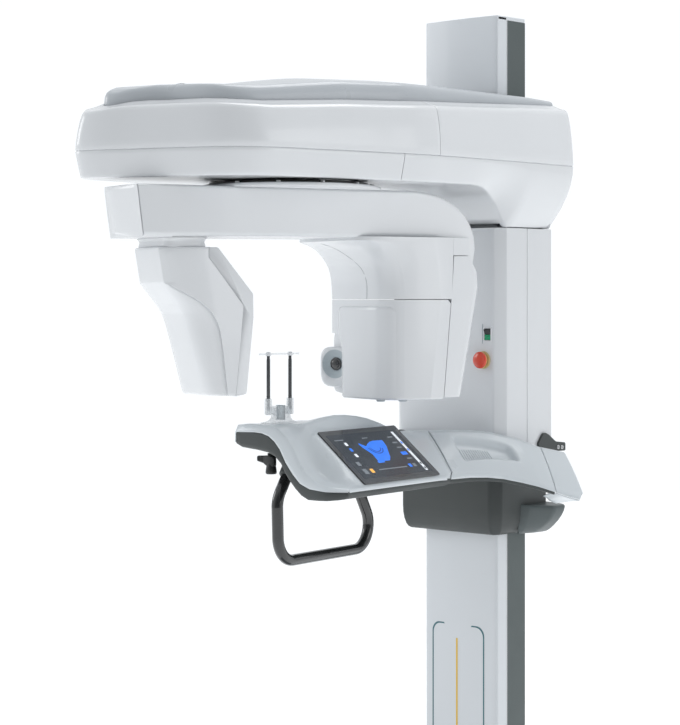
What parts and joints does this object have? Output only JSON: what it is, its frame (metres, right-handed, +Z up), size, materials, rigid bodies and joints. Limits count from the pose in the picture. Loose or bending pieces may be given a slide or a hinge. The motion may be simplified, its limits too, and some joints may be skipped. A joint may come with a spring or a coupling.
{
  "type": "panoramic xray machine",
  "caption": "Dental panoramic x-ray machine: a head on a lifting column turns an arm with detector and tubehead round the patient, over a console with screen, tray, handle and chin rest",
  "frame": {"origin": "on the floor under the middle of the fixed column, where the head reaches forward", "axes": "+Z up; the head, arm and console reach forward along -Y; +X is the operator's side, to the right seen from the front"},
  "size_m": [0.8, 1.2409, 2.39],
  "materials": {
    "white_shell": "smooth gloss",
    "silver_paint": "satin silver",
    "console_silver": "satin silver",
    "dark_plastic": "fine grain",
    "dark_profile": "dark anodised",
    "steel": "machined",
    "base_paint": "fine texture",
    "frame_aluminium": "milled",
    "motor_black": "satin",
    "tank_steel": "satin",
    "handle_black": "high gloss",
    "tablet_black": "glass gloss",
    "rod_dark": "satin",
    "estop_red": "gloss",
    "estop_grey": "satin",
    "rocker_green": "gloss"
  },
  "bodies": {
    "column": {"base_plate": "base_paint", "column_profile": "dark_profile", "column_front_cover": "silver_paint", "column_top_cap": "console_silver", "guide_rails": "steel", "screw_bearings": "steel", "lift_motor": "motor_black", "rear_cabinet": "dark_plastic", "power_supply": "motor_black", "mains_inlet": "motor_black", "wall_brackets": "base_paint"},
    "lift_screw": {"lift_screw": "steel"},
    "carriage": {"carriage_frame": "frame_aluminium", "guide_blocks": "steel", "lift_nut": "steel", "head_frame": "frame_aluminium", "mobile_column_front_cover": "white_shell", "side_cover_left": "white_shell", "side_cover_right": "white_shell", "lower_housing": "dark_plastic", "head_lower_front_shell": "white_shell", "head_lower_rear_shell": "white_shell", "head_upper_front_shell": "white_shell", "head_upper_rear_shell": "white_shell", "head_top_cover": "white_shell", "console_under_shell": "dark_plastic", "console_main_shell": "console_silver", "console_tray_shell": "console_silver", "console_end_cap": "console_silver", "tablet": "tablet_black", "patient_handle": "handle_black", "chin_rest": "white_shell", "bracket_arm": "dark_plastic", "estop_collar": "estop_grey", "rocker_frame": "white_shell"},
    "y_stage": {"y_stage": "frame_aluminium"},
    "x_stage": {"x_stage": "frame_aluminium", "slew_bearing": "steel", "drive_motor": "motor_black"},
    "drive_pinion": {"drive_pinion": "steel"},
    "arm": {"slew_ring": "steel", "slew_disc": "dark_plastic", "arm_beam": "frame_aluminium", "arm_shell": "white_shell", "arm_bottom_cover": "white_shell", "arm_end_cap": "white_shell", "detector_inner_cover": "white_shell", "detector_outer_cover": "white_shell", "sensor_panel": "motor_black", "tubehead_upper_cover": "white_shell", "tubehead_lower_cover": "white_shell", "tubehead_outer_cover": "white_shell", "xray_tank": "tank_steel", "camera_pod": "white_shell"},
    "blade_left": {"collimator_blade_left": "tank_steel"},
    "blade_right": {"collimator_blade_right": "tank_steel"},
    "head_rest": {"head_rest": "rod_dark"},
    "estop_button": {"estop_button": "estop_red"},
    "rocker": {"rocker": "rocker_green"},
    "lock_lever": {"lock_lever": "handle_black"}
  },
  "joints": [
    {"name": "column_lift", "type": "slide", "parent": "column", "child": "carriage", "axis": [0, 0, 1], "range_m": [-0.42, 0.14]},
    {"name": "lift_screw_spin", "type": "hinge", "parent": "column", "child": "lift_screw", "pos_m": [0, 0.036, 1.5], "axis": [0, 0, 1], "range_deg": [-7565, 2525]},
    {"name": "arm_y_slide", "type": "slide", "parent": "carriage", "child": "y_stage", "axis": [0, 1, 0], "range_m": [-0.03, 0.03]},
    {"name": "arm_x_slide", "type": "slide", "parent": "y_stage", "child": "x_stage", "axis": [1, 0, 0], "range_m": [-0.015, 0.015]},
    {"name": "arm_rotation", "type": "hinge", "parent": "x_stage", "child": "arm", "pos_m": [0, -0.64, 1.98], "axis": [0, 0, 1], "range_deg": [-115, 145]},
    {"name": "drive_pinion_spin", "type": "hinge", "parent": "x_stage", "child": "drive_pinion", "pos_m": [0, -0.6023, 1.99], "axis": [0, 0, 1], "range_deg": [-480, 605]},
    {"name": "collimator_left_slide", "type": "slide", "parent": "arm", "child": "blade_left", "axis": [0.9563, -0.2924, 0], "range_m": [-0.018, 0]},
    {"name": "collimator_right_slide", "type": "slide", "parent": "arm", "child": "blade_right", "axis": [0.9563, -0.2924, 0], "range_m": [0, 0.018]},
    {"name": "head_rest_lift", "type": "slide", "parent": "carriage", "child": "head_rest", "axis": [0, 0, 1], "range_m": [0, 0.02]},
    {"name": "estop_press", "type": "slide", "parent": "carriage", "child": "estop_button", "axis": [0, 1, 0], "range_m": [0, 0.0035], "stiffness_N_per_m": 1200},
    {"name": "power_rocker", "type": "hinge", "parent": "carriage", "child": "rocker", "pos_m": [0.133, -0.102, 1.623], "axis": [1, 0, 0], "range_deg": [-16, 0]},
    {"name": "lock_lever_turn", "type": "hinge", "parent": "carriage", "child": "lock_lever", "pos_m": [0.02, -0.715, 1.345], "axis": [0, 0, 1], "range_deg": [0, 80]}
  ],
  "couplings": [
    {"joint": "lift_screw_spin", "follows": "column_lift", "rad_per_m": 314.16},
    {"joint": "drive_pinion_spin", "follows": "arm_rotation", "ratio": 4.1667},
    {"joint": "collimator_right_slide", "follows": "collimator_left_slide", "ratio": -1}
  ]
}
